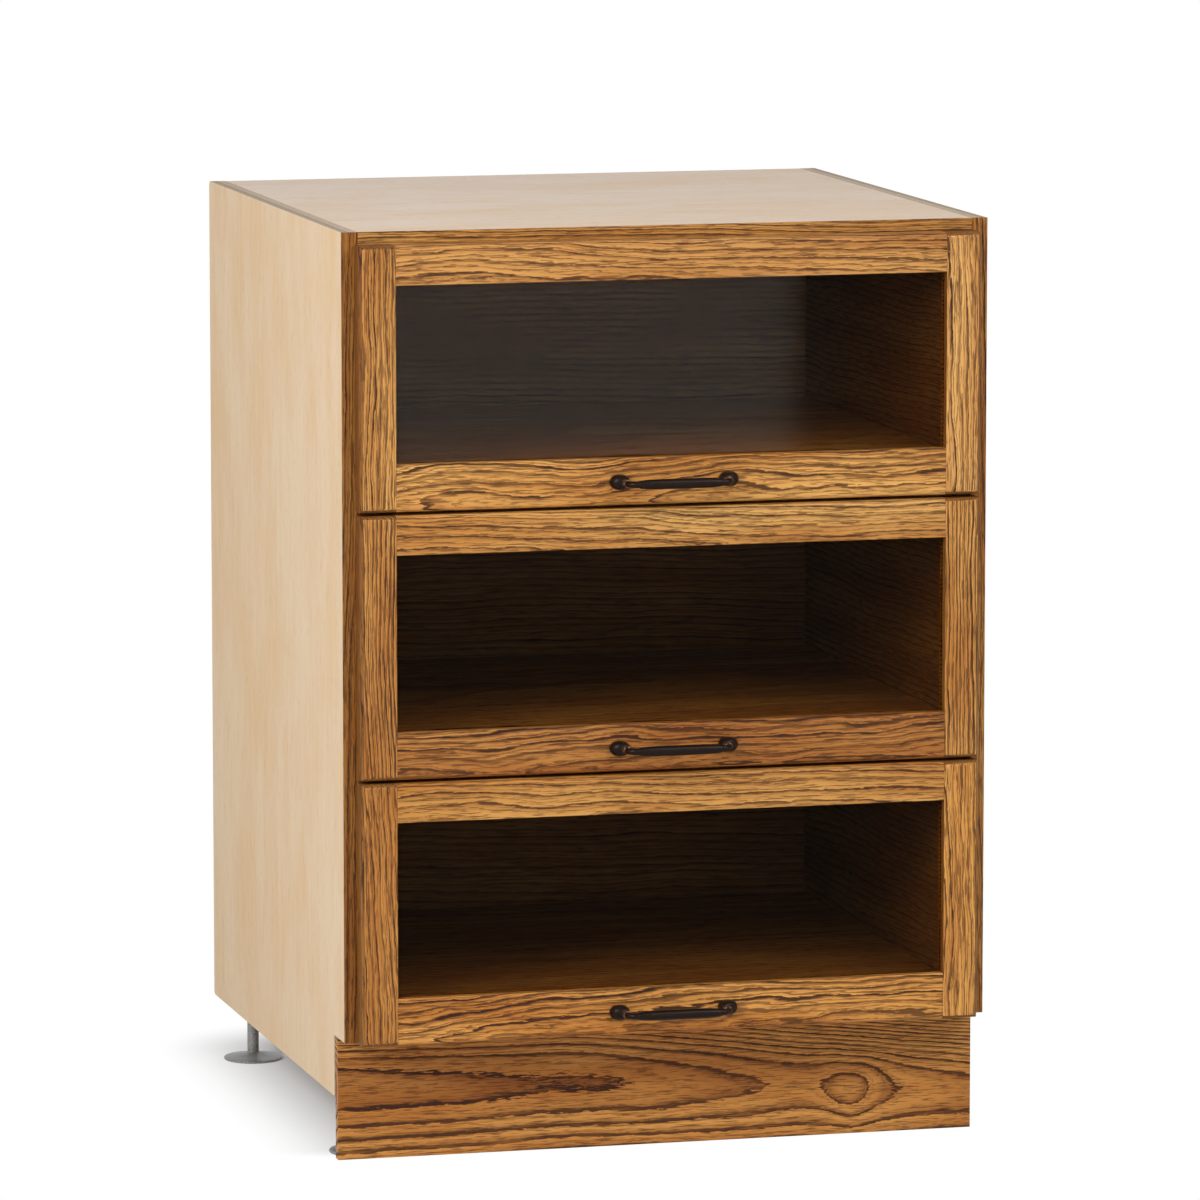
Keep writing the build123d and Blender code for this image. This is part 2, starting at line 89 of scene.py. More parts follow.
CHIP_SEAM_HALF = (0.0003, 0.0010)
CHIP_SEAM_SHADE = 0.75
CHIP_OUTER_SHADE = 0.35
TURN_UPRIGHT = (math.radians(90), 0, math.radians(90))
TURN_ACROSS = (math.radians(-90), 0, 0)
TURN_DEEP = (0, math.radians(-90), math.radians(-90))
TURN_FLAT = (0, 0, 0)


def add(tree, kind, sockets=None, **settings):
    """A node with its settings, and with each socket linked or given its value."""
    made = tree.nodes.new(kind)
    for key, value in settings.items():
        setattr(made, key, value)
    for key, value in (sockets or {}).items():
        if isinstance(value, bpy.types.NodeSocket):
            tree.links.new(value, made.inputs[key])
        else:
            made.inputs[key].default_value = value
    return made


def calc(tree, operation, first, second=0.0, third=0.0):
    """The output of one Math node."""
    values = {0: first, 1: second, 2: third}
    return add(tree, "ShaderNodeMath", values, operation=operation).outputs[0]


def spread(tree, value, low, high, bottom=0.0, top=1.0):
    """A value mapped smoothly from one span to another, and held at its ends."""
    sockets = {0: value, 1: low, 2: high, 3: bottom, 4: top}
    node = add(tree, "ShaderNodeMapRange", sockets, interpolation_type="SMOOTHSTEP")
    return node.outputs[0]


def blend_colours(tree, share, first, second):
    """Two colours mixed by a share that changes over the surface."""
    node = add(tree, "ShaderNodeMix", {0: share, 6: first, 7: second}, data_type="RGBA")
    return node.outputs[2]


def toned(tone, *colours):
    """Colours multiplied by a tone, channel by channel."""
    return [tuple(c * t for c, t in zip(colour, tone)) + (1,) for colour in colours]


def stretched_noise(tree, vector, cells, detail=2.0, roughness=0.5):
    """Noise from 0 to 1, with so many cells in a metre along the grain and across it."""
    scaled = add(tree, "ShaderNodeVectorMath", {0: vector, 1: cells}, operation="MULTIPLY")
    sockets = {"Vector": scaled.outputs[0], "Scale": 1.0, "Detail": detail, "Roughness": roughness}
    return add(tree, "ShaderNodeTexNoise", sockets).outputs["Fac"]


def new_group(name, inputs, outputs):
    """A shader node group with named inputs and outputs, and its two end nodes."""
    tree = bpy.data.node_groups.new(name, "ShaderNodeTree")
    for label, kind in inputs.items():
        tree.interface.new_socket(label, in_out="INPUT", socket_type=kind)
    for label in outputs:
        tree.interface.new_socket(label, in_out="OUTPUT", socket_type="NodeSocketFloat")
    return tree, tree.nodes.new("NodeGroupInput"), tree.nodes.new("NodeGroupOutput")


def new_finish(name):
    """A material with its node tree and its one Principled shader."""
    material = bpy.data.materials.new(name)
    material.use_nodes = True
    tree = material.node_tree
    return material, tree, tree.nodes["Principled BSDF"]


def raise_surface(tree, shader, height, strength, depth):
    """A bump that follows a height over the surface, to a depth in metres."""
    sockets = {"Height": height, "Strength": strength, "Distance": depth}
    bump = add(tree, "ShaderNodeBump", sockets)
    tree.links.new(bump.outputs[0], shader.inputs["Normal"])


def grain_vector(tree, turn, shift):
    """Place on a board in metres, turned so that X runs along the grain."""
    place = add(tree, "ShaderNodeTexCoord").outputs["Object"]
    sockets = {"Vector": place, "Location": shift, "Rotation": turn}
    return add(tree, "ShaderNodeMapping", sockets).outputs[0]


def birch_figure():
    """Soft warm patches, faint streaks and short flecks of a rotary-cut veneer."""
    tree, given, made = new_group(
        "birch_figure", {"Vector": "NodeSocketVector"}, ("Patches", "Streaks", "Flecks")
    )
    vector = given.outputs["Vector"]
    wide = stretched_noise(tree, vector, BIRCH_PATCH_CELLS, 3.0, 0.55)
    slow = stretched_noise(tree, vector, BIRCH_DRIFT_CELLS, 1.0)
    both = calc(tree, "MULTIPLY_ADD", wide, 0.65, calc(tree, "MULTIPLY", slow, 0.35))
    streaks = stretched_noise(tree, vector, BIRCH_STREAK_CELLS, 4.0, 0.6)
    flecks = stretched_noise(tree, vector, BIRCH_FLECK_CELLS, 1.0)
    tree.links.new(spread(tree, both, 0.40, 0.68), made.inputs["Patches"])
    tree.links.new(spread(tree, streaks, 0.35, 0.70), made.inputs["Streaks"])
    tree.links.new(spread(tree, flecks, 0.56, 0.72), made.inputs["Flecks"])
    return tree


BIRCH_FIGURE = birch_figure()


def birch_veneer(name, turn, shift, sheen=0.2, tone=(1.0, 1.0, 1.0)):
    """Varnished birch veneer with its grain in one direction."""
    material, tree, shader = new_finish(name)
    sockets = {"Vector": grain_vector(tree, turn, shift)}
    figure = add(tree, "ShaderNodeGroup", sockets, node_tree=BIRCH_FIGURE).outputs
    light, deep = toned(tone, BIRCH_LIGHT, BIRCH_WARM)
    streaks = calc(tree, "MULTIPLY", figure["Streaks"], BIRCH_STREAKS)
    warm = calc(tree, "MULTIPLY_ADD", figure["Patches"], BIRCH_PATCHES, streaks)
    wood = blend_colours(tree, warm, light, deep)
    flecked = calc(tree, "MULTIPLY", figure["Flecks"], BIRCH_FLECKS)
    tree.links.new(blend_colours(tree, flecked, wood, BIRCH_FLECK), shader.inputs["Base Color"])
    rough = spread(tree, figure["Streaks"], 0, 1, *BIRCH_ROUGH)
    tree.links.new(rough, shader.inputs["Roughness"])
    shader.inputs["Specular IOR Level"].default_value = sheen
    height = calc(tree, "SUBTRACT", figure["Streaks"], figure["Flecks"])
    raise_surface(tree, shader, height, strength=0.12, depth=0.0002)
    return material


def chip_edge():
    """The sawn edge of the board: pressed chips in two layers, with a dark seam between them."""
    material, tree, shader = new_finish("chip_edge")
    place = add(tree, "ShaderNodeTexCoord").outputs["Object"]
    chips = add(tree, "ShaderNodeTexVoronoi", {"Vector": place, "Scale": CHIP_CELLS})
    grain = stretched_noise(tree, place, CHIP_GRAIN_CELLS, 2.0)
    share = calc(tree, "MULTIPLY", chips.outputs["Distance"], grain)
    share = spread(tree, share, 0.05, 0.42)
    across = calc(tree, "ABSOLUTE", add(tree, "ShaderNodeSeparateXYZ", {0: place}).outputs[0])
    away = calc(tree, "SUBTRACT", across, cad_box[1].x - CHIP_SEAM_DEPTH)
    outer = spread(tree, away, -CHIP_SEAM_EASE, CHIP_SEAM_EASE, 0.0, CHIP_OUTER_SHADE)
    seam = spread(tree, calc(tree, "ABSOLUTE", away), *CHIP_SEAM_HALF, CHIP_SEAM_SHADE, 0.0)
    colour = blend_colours(tree, share, CHIP_DARK, CHIP_LIGHT)
    colour = blend_colours(tree, calc(tree, "MAXIMUM", outer, seam), colour, CHIP_SEAM)
    tree.links.new(colour, shader.inputs["Base Color"])
    shader.inputs["Roughness"].default_value = CHIP_ROUGHNESS
    raise_surface(tree, shader, share, strength=0.3, depth=0.0003)
    return material


def eased_mesh(node, width):
    """A copy of a solid's mesh whose sharp outer edges are sanded round."""
    mesh = bmesh.new()
    mesh.from_mesh(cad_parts[node].data)
    bmesh.ops.remove_doubles(mesh, verts=mesh.verts, dist=SAME_POINT)
    bmesh.ops.dissolve_limit(mesh, angle_limit=FLAT_TURN, verts=mesh.verts, edges=mesh.edges)
    sharp = [e for e in mesh.edges if e.is_convex and e.calc_face_angle(0) > SHARP_TURN]
    bmesh.ops.bevel(
        mesh, geom=sharp, offset=width, segments=2, profile=0.5, affect="EDGES", clamp_overlap=True
    )
    return mesh


def place_piece(name, mesh, materials, body, slot, *nodes):
    """A finished piece that rides on a body and stands for its solids."""
    data = bpy.data.meshes.new(name)
    mesh.to_mesh(data)
    mesh.free()
    for material in materials:
        data.materials.append(material)
    piece = bpy.data.objects.new(name, data)
    bpy.context.scene.collection.objects.link(piece)
    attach(piece, body)
    if nodes:
        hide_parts(*nodes)
    return piece


def eased_board(node, materials, body, slot, face_axis=None):
    """An eased board. Faces that don't look along face_axis get the second material."""
    mesh = eased_mesh(node, BOARD_EASING)
    if face_axis is not None:
        for face in mesh.faces:
            face.material_index = 0 if abs(face.normal[face_axis]) > FACE_LIMIT else 1
    place_piece(f"{node}_board", mesh, materials, body, slot, node)


CHIP_EDGE = chip_edge()
for hand, shift in (("left", (0.31, 0.12, 0.0)), ("right", (0.85, 0.47, 0.2))):
    veneer = birch_veneer(f"birch_side_{hand}", TURN_UPRIGHT, shift)
    eased_board(f"side_panel_{hand}", (veneer, CHIP_EDGE), "cabinet", "birch", 0)
# The top and the bottom panel share this paler, bluer veneer, whose tone is a painted sheen.
BIRCH_ACROSS_PAINTED_SHEEN = birch_veneer("birch_across_painted_sheen", TURN_FLAT, (0.13, 0.4, 0.0), TOP_SHEEN, TOP_PAINTED_SHEEN_TONE)
for node in ("top_panel", "bottom_panel"):
    eased_board(node, (BIRCH_ACROSS_PAINTED_SHEEN, CHIP_EDGE), "cabinet", "birch", 2)
BIRCH_BACK = birch_veneer("birch_back", TURN_UPRIGHT, (1.7, 0.9, 0.0))
for node in ("back_panel", "carcass_tongues"):
    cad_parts[node].data.materials[0] = BIRCH_BACK

# Front edging: thin solid oak strips glued to the front edges of the sides and the top.
# They are oiled like the drawer fronts, with the grain along each strip.
# The oak figure made here is the one that every oak piece of the cabinet shares.
OAK_LIGHT = (0.76, 0.395, 0.108, 1)
OAK_MID = (0.53, 0.215, 0.043, 1)
OAK_BROWN = (0.235, 0.072, 0.013, 1)
OAK_DARK = (0.036, 0.012, 0.0055, 1)
OAK_PORE = (0.080, 0.024, 0.0075, 1)
OAK_SLOW_CELLS = (4, 11, 11)
OAK_QUICK_CELLS = (15, 60, 60)
OAK_RAGGED_CELLS = (75, 560, 560)
OAK_DASH_CELLS = (18, 200, 200)
OAK_PORE_CELLS = (50, 800, 800)
OAK_CLOUD_CELLS = (3.5, 24, 24)
OAK_SLOW_SWAY = 3.0
OAK_RAGGED = 0.42
OAK_FLATTEST = 0.05
OAK_DASH_GAP = 0.56
OAK_LINE_END = 0.99
OAK_LINE_CREST = 0.52
OAK_LINE_FADE = 0.975
OAK_BROWN_SPAN = (0.25, 0.98)
OAK_FINE_RINGS = 2.3
OAK_RING_START = 0.37
OAK_RING_WEAKEST = 0.58
OAK_PORES = 0.60
OAK_ROUGH = (0.42, 0.68)
OAK_SHEEN = 0.18
EDGE_HEART = (0.09, 0.02)
# The left strip is toned darker than the right and the top ones: partly its own tone, partly
# painted shade beside the drawer fronts.
EDGE_TONE_AND_SHADE = {"left": (0.58, 0.52, 0.42), "right": (0.76, 0.70, 0.60), "top": (0.80, 0.76, 0.70)}
EDGE_SHIFT = {"left": (0.2, 0.1, 0), "right": (0.9, 0.5, 0), "top": (0.5, 0.3, 0)}


def distance(tree, first, second):
    """How far two steps at right angles lead."""
    square = calc(tree, "MULTIPLY_ADD", first, first, calc(tree, "MULTIPLY", second, second))
    return calc(tree, "SQRT", square)


def oak_figure():
    """Growth rings cut by a board, as ragged dark lines, with open pores and clouding.

    The rings lie round a heart at a distance across and below the face, lean along
    the grain, and sway slowly. Each ring has its own strength, and its line is as thick
    where the board lies flat to the rings as where it is cut across them.
    """
    labels = (
        "Heart Across", "Heart Depth", "Ring Width", "Line Share",
        "Fine Lines", "Lean", "Sway", "Bulge",
    )
    inputs = {"Vector": "NodeSocketVector"}
    inputs.update({label: "NodeSocketFloat" for label in labels})
    tree, group, made = new_group("oak_figure", inputs, ("Lines", "Brown", "Pores", "Clouds"))
    given = group.outputs
    vector, ring, sway = given["Vector"], given["Ring Width"], given["Sway"]
    along, across, depth = add(tree, "ShaderNodeSeparateXYZ", {0: vector}).outputs
    side = calc(tree, "SUBTRACT", across, given["Heart Across"])
    below = calc(tree, "SUBTRACT", depth, given["Heart Depth"])
    radius = distance(tree, side, below)
    slope = calc(tree, "DIVIDE", side, radius)
    steep = calc(tree, "SQRT", calc(tree, "MULTIPLY_ADD", slope, slope, OAK_FLATTEST))
    share = calc(tree, "MULTIPLY", given["Line Share"], calc(tree, "MINIMUM", steep, 1.0))
    radius = calc(tree, "MULTIPLY_ADD", along, given["Lean"], radius)
    slow = calc(tree, "SUBTRACT", stretched_noise(tree, vector, OAK_SLOW_CELLS, 1.0), 0.5)
    radius = calc(tree, "MULTIPLY_ADD", slow, calc(tree, "MULTIPLY", sway, OAK_SLOW_SWAY), radius)
    quick = calc(tree, "SUBTRACT", stretched_noise(tree, vector, OAK_QUICK_CELLS, 2.0), 0.5)
    radius = calc(tree, "MULTIPLY_ADD", quick, sway, radius)
    radius = calc(tree, "ADD", radius, given["Bulge"])
    ragged = calc(tree, "SUBTRACT", stretched_noise(tree, vector, OAK_RAGGED_CELLS, 2.0, 0.65), 0.5)
    radius = calc(tree, "MULTIPLY_ADD", ragged, calc(tree, "MULTIPLY", ring, OAK_RAGGED), radius)
    dashes = stretched_noise(tree, vector, OAK_DASH_CELLS, 2.0)
    dashes = spread(tree, dashes, 0.34, 0.52, OAK_DASH_GAP, 1.0)
    start = calc(tree, "SUBTRACT", OAK_LINE_END, share)
    crest = calc(tree, "MULTIPLY_ADD", share, -OAK_LINE_CREST, OAK_LINE_END)
    lines, browns = [], []
    for rings, weight in ((1.0, 1.0), (OAK_FINE_RINGS, given["Fine Lines"])):
        count = calc(tree, "DIVIDE", radius, ring)
        count = calc(tree, "MULTIPLY_ADD", count, rings, OAK_RING_START * rings)
        phase = calc(tree, "FRACT", count)
        index = calc(tree, "FLOOR", count)
        own = add(tree, "ShaderNodeTexWhiteNoise", {"W": index}, noise_dimensions="1D").outputs[0]
        own = calc(tree, "MULTIPLY_ADD", own, 1 - OAK_RING_WEAKEST, OAK_RING_WEAKEST)
        own = calc(tree, "MULTIPLY", own, weight)
        rise = spread(tree, phase, start, crest)
        fall = spread(tree, phase, OAK_LINE_FADE, 1.0, 1.0, 0.0)
        line = calc(tree, "MULTIPLY", calc(tree, "MULTIPLY", rise, fall), own)
        lines.append(calc(tree, "MULTIPLY", line, dashes))
        browns.append(calc(tree, "MULTIPLY", spread(tree, phase, *OAK_BROWN_SPAN), own))
    pores = spread(tree, stretched_noise(tree, vector, OAK_PORE_CELLS, 1.0), 0.55, 0.62)
    tree.links.new(calc(tree, "MAXIMUM", *lines), made.inputs["Lines"])
    tree.links.new(calc(tree, "MAXIMUM", *browns), made.inputs["Brown"])
    tree.links.new(pores, made.inputs["Pores"])
    tree.links.new(stretched_noise(tree, vector, OAK_CLOUD_CELLS, 2.0), made.inputs["Clouds"])
    return tree


OAK_FIGURE = oak_figure()


def oiled_oak(
    name, turn, shift, heart, ring=0.0046, share=0.32, fine=0.6, lean=0.02,
    sway=0.004, tone=(1.0, 1.0, 1.0), halo=0.6, swirl=None,
):
    """Brushed and oiled oak. The heart is its distance across and below the board's face."""
    material, tree, shader = new_finish(name)
    vector = grain_vector(tree, turn, shift)
    sizes = {"Vector": vector, "Heart Across": heart[0], "Heart Depth": heart[1]}
    sizes.update({"Ring Width": ring, "Line Share": share, "Fine Lines": fine})
    sizes.update({"Lean": lean, "Sway": sway})
    if swirl is not None:
        sizes.update(swirl(tree, vector))
    figure = add(tree, "ShaderNodeGroup", sizes, node_tree=OAK_FIGURE).outputs
    light, mid, brown = toned(tone, OAK_LIGHT, OAK_MID, OAK_BROWN)
    lines, pores = figure["Lines"], figure["Pores"]
    wood = blend_colours(tree, spread(tree, figure["Clouds"], 0.32, 0.68), light, mid)
    wood = blend_colours(tree, calc(tree, "MULTIPLY", figure["Brown"], halo), wood, brown)
    wood = blend_colours(tree, calc(tree, "MULTIPLY", pores, OAK_PORES), wood, OAK_PORE)
    wood = blend_colours(tree, lines, wood, OAK_DARK)
    tree.links.new(wood, shader.inputs["Base Color"])
    deep = calc(tree, "MAXIMUM", lines, pores)
    tree.links.new(spread(tree, deep, 0, 1, *OAK_ROUGH), shader.inputs["Roughness"])
    shader.inputs["Specular IOR Level"].default_value = OAK_SHEEN
    height = calc(tree, "SUBTRACT", 1.0, deep)
    raise_surface(tree, shader, height, strength=0.35, depth=0.0003)
    return material


for edge, tone in EDGE_TONE_AND_SHADE.items():
    turn = TURN_ACROSS if edge == "top" else TURN_UPRIGHT
    oak = oiled_oak(f"oak_edge_{edge}", turn, EDGE_SHIFT[edge], EDGE_HEART, tone=tone)
    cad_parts[f"front_edge_{edge}"].data.materials[0] = oak

# Legs: a painted steel socket screwed under each corner of the bottom panel.
# A turned foot slides in each: a wide saucer on a round stem, in grey painted steel.
FOOT_PLACES = ("front_left", "front_right", "rear_left", "rear_right")
FOOT_STEPS = 72
FOOT_RIM_ROUND = 0.0007
FOOT_RIM_HEIGHT = 0.0025
FOOT_CROWN_HEIGHT = 0.0065
FOOT_CROWN_RADIUS = 0.008
FOOT_CROWN_ROUND = 0.001
FOOT_CROWN_DROP = 0.0004
FOOT_STEM_RADIUS = 0.0055
FOOT_STEM_ROUND = 0.0008
STEEL_GREY = (0.185, 0.18, 0.172, 1)
STEEL_PALE = (0.33, 0.325, 0.31, 1)
STEEL_STAIN = (0.075, 0.07, 0.065, 1)
STAIN_SCALE = 0.08
STAIN_SHARE = 0.5
ROUGH_SWING = 0.07


def metal_mottle():
    """Fine grain and soft stains of a metal surface."""
    inputs = {"Vector": "NodeSocketVector", "Grain Size": "NodeSocketFloat"}
    tree, given, made = new_group("metal_mottle", inputs, ("Grain", "Stains"))
    vector = given.outputs["Vector"]
    scale = calc(tree, "DIVIDE", 1.0, given.outputs["Grain Size"])
    grain = add(tree, "ShaderNodeTexNoise", {"Vector": vector, "Scale": scale, "Detail": 3.0})
    scale = calc(tree, "MULTIPLY", scale, STAIN_SCALE)
    stains = add(tree, "ShaderNodeTexNoise", {"Vector": vector, "Scale": scale, "Detail": 2.0})
    tree.links.new(spread(tree, grain.outputs["Fac"], 0.3, 0.7), made.inputs["Grain"])
    tree.links.new(spread(tree, stains.outputs["Fac"], 0.45, 0.75), made.inputs["Stains"])
    return tree


METAL_MOTTLE = metal_mottle()


def mottled_finish(name, pale, deep, stain, grain_size, metallic, rough):
    """A metal, painted or moulded finish with a fine grain and soft stains."""
    material, tree, shader = new_finish(name)
    place = add(tree, "ShaderNodeTexCoord").outputs["Object"]
    sockets = {"Vector": place, "Grain Size": grain_size}
    mottle = add(tree, "ShaderNodeGroup", sockets, node_tree=METAL_MOTTLE).outputs
    colour = blend_colours(tree, mottle["Grain"], deep, pale)
    stained = calc(tree, "MULTIPLY", mottle["Stains"], STAIN_SHARE)
    tree.links.new(blend_colours(tree, stained, colour, stain), shader.inputs["Base Color"])
    level = spread(tree, mottle["Grain"], 0, 1, rough - ROUGH_SWING, rough + ROUGH_SWING)
    tree.links.new(level, shader.inputs["Roughness"])
    shader.inputs["Metallic"].default_value = metallic
    raise_surface(tree, shader, mottle["Grain"], strength=0.15, depth=0.0001)
    return material


def skin(rings):
    """A closed, smooth mesh over a row of rings that have as many points each."""
    mesh = bmesh.new()
    rows = [[mesh.verts.new(point) for point in ring] for ring in rings]
    for low, high in zip(rows, rows[1:]):
        for i in range(len(low)):
            j = (i + 1) % len(low)
            mesh.faces.new((low[i], low[j], high[j], high[i])).smooth = True
    mesh.faces.new(rows[0][::-1])
    mesh.faces.new(rows[-1])
    bmesh.ops.recalc_face_normals(mesh, faces=mesh.faces)
    return mesh


def round_ring(centre, first, second, radius, steps):
    """Points on a circle that two directions span."""
    turns = [2 * math.pi * i / steps for i in range(steps)]
    return [centre + radius * (math.cos(t) * first + math.sin(t) * second) for t in turns]


def foot_outline(radius, top):
    """Radius and height up a foot, from the floor to the top of its stem."""
    rim = FOOT_RIM_ROUND
    return [
        (radius - rim, 0),
        (radius, rim),
        (radius, FOOT_RIM_HEIGHT - rim),
        (radius - rim, FOOT_RIM_HEIGHT),
        (radius - 2 * rim, FOOT_RIM_HEIGHT + 0.2 * rim),
        (FOOT_CROWN_RADIUS, FOOT_CROWN_HEIGHT - FOOT_CROWN_DROP),
        (FOOT_CROWN_RADIUS - FOOT_CROWN_ROUND, FOOT_CROWN_HEIGHT),
        (FOOT_STEM_RADIUS + FOOT_STEM_ROUND, FOOT_CROWN_HEIGHT),
        (FOOT_STEM_RADIUS, FOOT_CROWN_HEIGHT + FOOT_STEM_ROUND),
        (FOOT_STEM_RADIUS, top - FOOT_STEM_ROUND),
        (FOOT_STEM_RADIUS - FOOT_STEM_ROUND, top),
    ]


LEG_STEEL = mottled_finish(
    "leg_steel", STEEL_PALE, STEEL_GREY, STEEL_STAIN, grain_size=0.0016, metallic=0.35, rough=0.45
)
for place in FOOT_PLACES:
    low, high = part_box(f"foot_{place}")
    middle = (low + high) / 2
    rings = []
    for radius, z in foot_outline((high.x - low.x) / 2, high.z):
        centre = Vector((middle.x, middle.y, z))
        rings.append(round_ring(centre, Vector((1, 0, 0)), Vector((0, 1, 0)), radius, FOOT_STEPS))
    foot = place_piece(
        f"foot_{place}_turned", skin(rings), (LEG_STEEL,),
        f"{place}_foot", "leg_steel", f"foot_{place}",
    )
    foot.data.set_sharp_from_angle(angle=SHARP_TURN)
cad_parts["leg_sockets"].data.materials[0] = LEG_STEEL

# Plinth: one flat-sawn oak board under the drawers, oiled darker than the fronts.
# Two moulded clips are screwed to its back and snap round the front legs.
PLINTH_HEART_RISE = 0.064
PLINTH_HEART_FALL = 0.09
PLINTH_HEART_DEPTH = 0.0295
PLINTH_KNOT_X = 0.184
PLINTH_KNOT_Z = 0.040
PLINTH_KNOT_RUN = 0.028
PLINTH_KNOT_HEIGHT = 0.034
PLINTH_KNOT_CLEFT = 0.30
PLINTH_KNOT_DEPTH = 0.013
# The rings pack closer towards the top edge, which darkens the board's top band: partly grain,
# partly painted shade under the drawers.
PLINTH_CROWD_AND_SHADE_FROM = 0.020
PLINTH_CROWD_AND_SHADE = 26.0
PLINTH_FIRST_RING = 0.040
PLINTH_LEAN = 0.07
PLINTH_LEVEL = 0.8
PLINTH_FLAT_TO = -0.07
PLINTH_FLAT_EASE = 0.05
PLINTH_TONE = (0.82, 0.74, 0.66)
CLIP_BLACK = (0.030, 0.030, 0.032, 1)
CLIP_GREY = (0.055, 0.055, 0.058, 1)


def plinth_swirl(tree, vector):
    """Arches that run level at the left and fall to a knot at the right; above the heart the rings
    pack closer, most at the right and the top, partly grain and partly painted shade under the
    drawers.
    """
    along, across = add(tree, "ShaderNodeSeparateXYZ", {0: vector}).outputs[:2]
    short = calc(tree, "SUBTRACT", PLINTH_FLAT_TO, along)
    short = calc(tree, "SMOOTH_MAX", short, 0.0, PLINTH_FLAT_EASE)
    past = calc(tree, "ADD", short, calc(tree, "SUBTRACT", along, PLINTH_FLAT_TO))
    heart = calc(tree, "MULTIPLY_ADD", past, -PLINTH_HEART_FALL, PLINTH_HEART_RISE)
    run = calc(tree, "DIVIDE", calc(tree, "SUBTRACT", along, PLINTH_KNOT_X), PLINTH_KNOT_RUN)
    rise = calc(tree, "DIVIDE", calc(tree, "SUBTRACT", across, PLINTH_KNOT_Z), PLINTH_KNOT_HEIGHT)
    rise = calc(tree, "MULTIPLY_ADD", calc(tree, "ABSOLUTE", run), -PLINTH_KNOT_CLEFT, rise)
    square = calc(tree, "ADD", calc(tree, "MULTIPLY", run, run), calc(tree, "MULTIPLY", rise, rise))
    hollow = calc(tree, "EXPONENT", calc(tree, "MULTIPLY", square, -1.0))
    above = calc(tree, "SUBTRACT", calc(tree, "SUBTRACT", across, heart), PLINTH_CROWD_AND_SHADE_FROM)
    above = calc(tree, "MAXIMUM", above, 0.0)
    crowd_and_shade = calc(tree, "MULTIPLY", calc(tree, "MULTIPLY", above, above), PLINTH_CROWD_AND_SHADE)
    crowd_and_shade = calc(tree, "ADD", crowd_and_shade, PLINTH_FIRST_RING)
    level = calc(tree, "MULTIPLY_ADD", short, PLINTH_LEVEL * PLINTH_LEAN, crowd_and_shade)
    bulge = calc(tree, "MULTIPLY_ADD", hollow, -PLINTH_KNOT_DEPTH, level)
    return {"Heart Across": heart, "Bulge": bulge}


plinth_heart = (PLINTH_HEART_RISE, -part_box("plinth_board")[0].y - PLINTH_HEART_DEPTH)
PLINTH_OAK = oiled_oak(
    "oak_plinth", TURN_ACROSS, (0, 0, 0), plinth_heart, ring=0.010, share=0.46, fine=0.4,
    lean=PLINTH_LEAN, sway=0.0040, tone=PLINTH_TONE, halo=0.85, swirl=plinth_swirl,
)
eased_board("plinth_board", (PLINTH_OAK,), "cabinet", "oak_dark")
CLIP_PLASTIC = mottled_finish(
    "clip_plastic", CLIP_GREY, CLIP_BLACK, CLIP_BLACK, grain_size=0.0008, metallic=0.0, rough=0.55
)
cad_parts["plinth_clips"].data.materials[0] = CLIP_PLASTIC

# Telescopic slides: three nested channels of zinc-plated sheet on each side of a drawer.
# The outer one is screwed to the cabinet, the inner one to the drawer box.
DRAWERS = ("lower", "middle", "upper")
ZINC_PALE = (0.66, 0.67, 0.68, 1)
ZINC_DEEP = (0.47, 0.48, 0.49, 1)
ZINC_STAIN = (0.33, 0.33, 0.32, 1)
ZINC = mottled_finish(
    "zinc_plate", ZINC_PALE, ZINC_DEEP, ZINC_STAIN, grain_size=0.003, metallic=1.0, rough=0.34
)
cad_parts["slide_channels"].data.materials[0] = ZINC
for drawer in DRAWERS:
    for member in ("slide_links", "slide_rails"):
        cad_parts[f"{drawer}_{member}"].data.materials[0] = ZINC

# Drawer fronts: oak stiles and rails with stub tenons, rounded on the outer front edges.
# Every board comes from another part of the tree, so each has a figure of its own.
# Faces of the stiles that don't look to the front or the back get a darker oak: painted shade on
# their edges.
# Board tones per drawer, from the lowest: each board's own tone, and painted shade that keeps the
# left stiles darker than the right ones.
FRONT_TONE_AND_SHADE = {
    "stile_left": ((0.76, 0.655, 0.575), (0.84, 0.78, 0.74), (0.85, 0.82, 0.82)),
    "stile_right": ((0.98, 0.91, 0.83), (1.0, 0.98, 0.98), (1.03, 1.06, 1.21)),
    "rail_top": ((0.87, 0.84, 0.80), (0.955, 0.995, 1.06), (0.86, 0.82, 0.85)),
    "rail_bottom": ((0.94, 0.85, 0.74), (0.69, 0.575, 0.50), (1.0, 1.0, 1.0)),
}
STILE_HEART = {"stile_left": (-0.36, -0.14), "stile_right": (0.20, -0.16)}
STILE_SHIFT = (0.37, 0.0, 0.11)
STILE_RING = 0.0036
STILE_LINES = {"ring": STILE_RING, "share": 0.42, "lean": 0.012, "sway": 0.0060}
STILE_EDGE_SHADE_TONE = (0.42, 0.36, 0.26)
RAIL_HEART = {"rail_top": (0.05, 0.40), "rail_bottom": (0.012, 0.335)}
RAIL_SHIFT = 0.53
RAIL_START = 0.2
RAIL_LINES = {
    "rail_top": {"share": 0.42, "lean": 0.015, "sway": 0.0050},
    "rail_bottom": {"share": 0.62, "lean": -0.012, "sway": 0.0080},
}
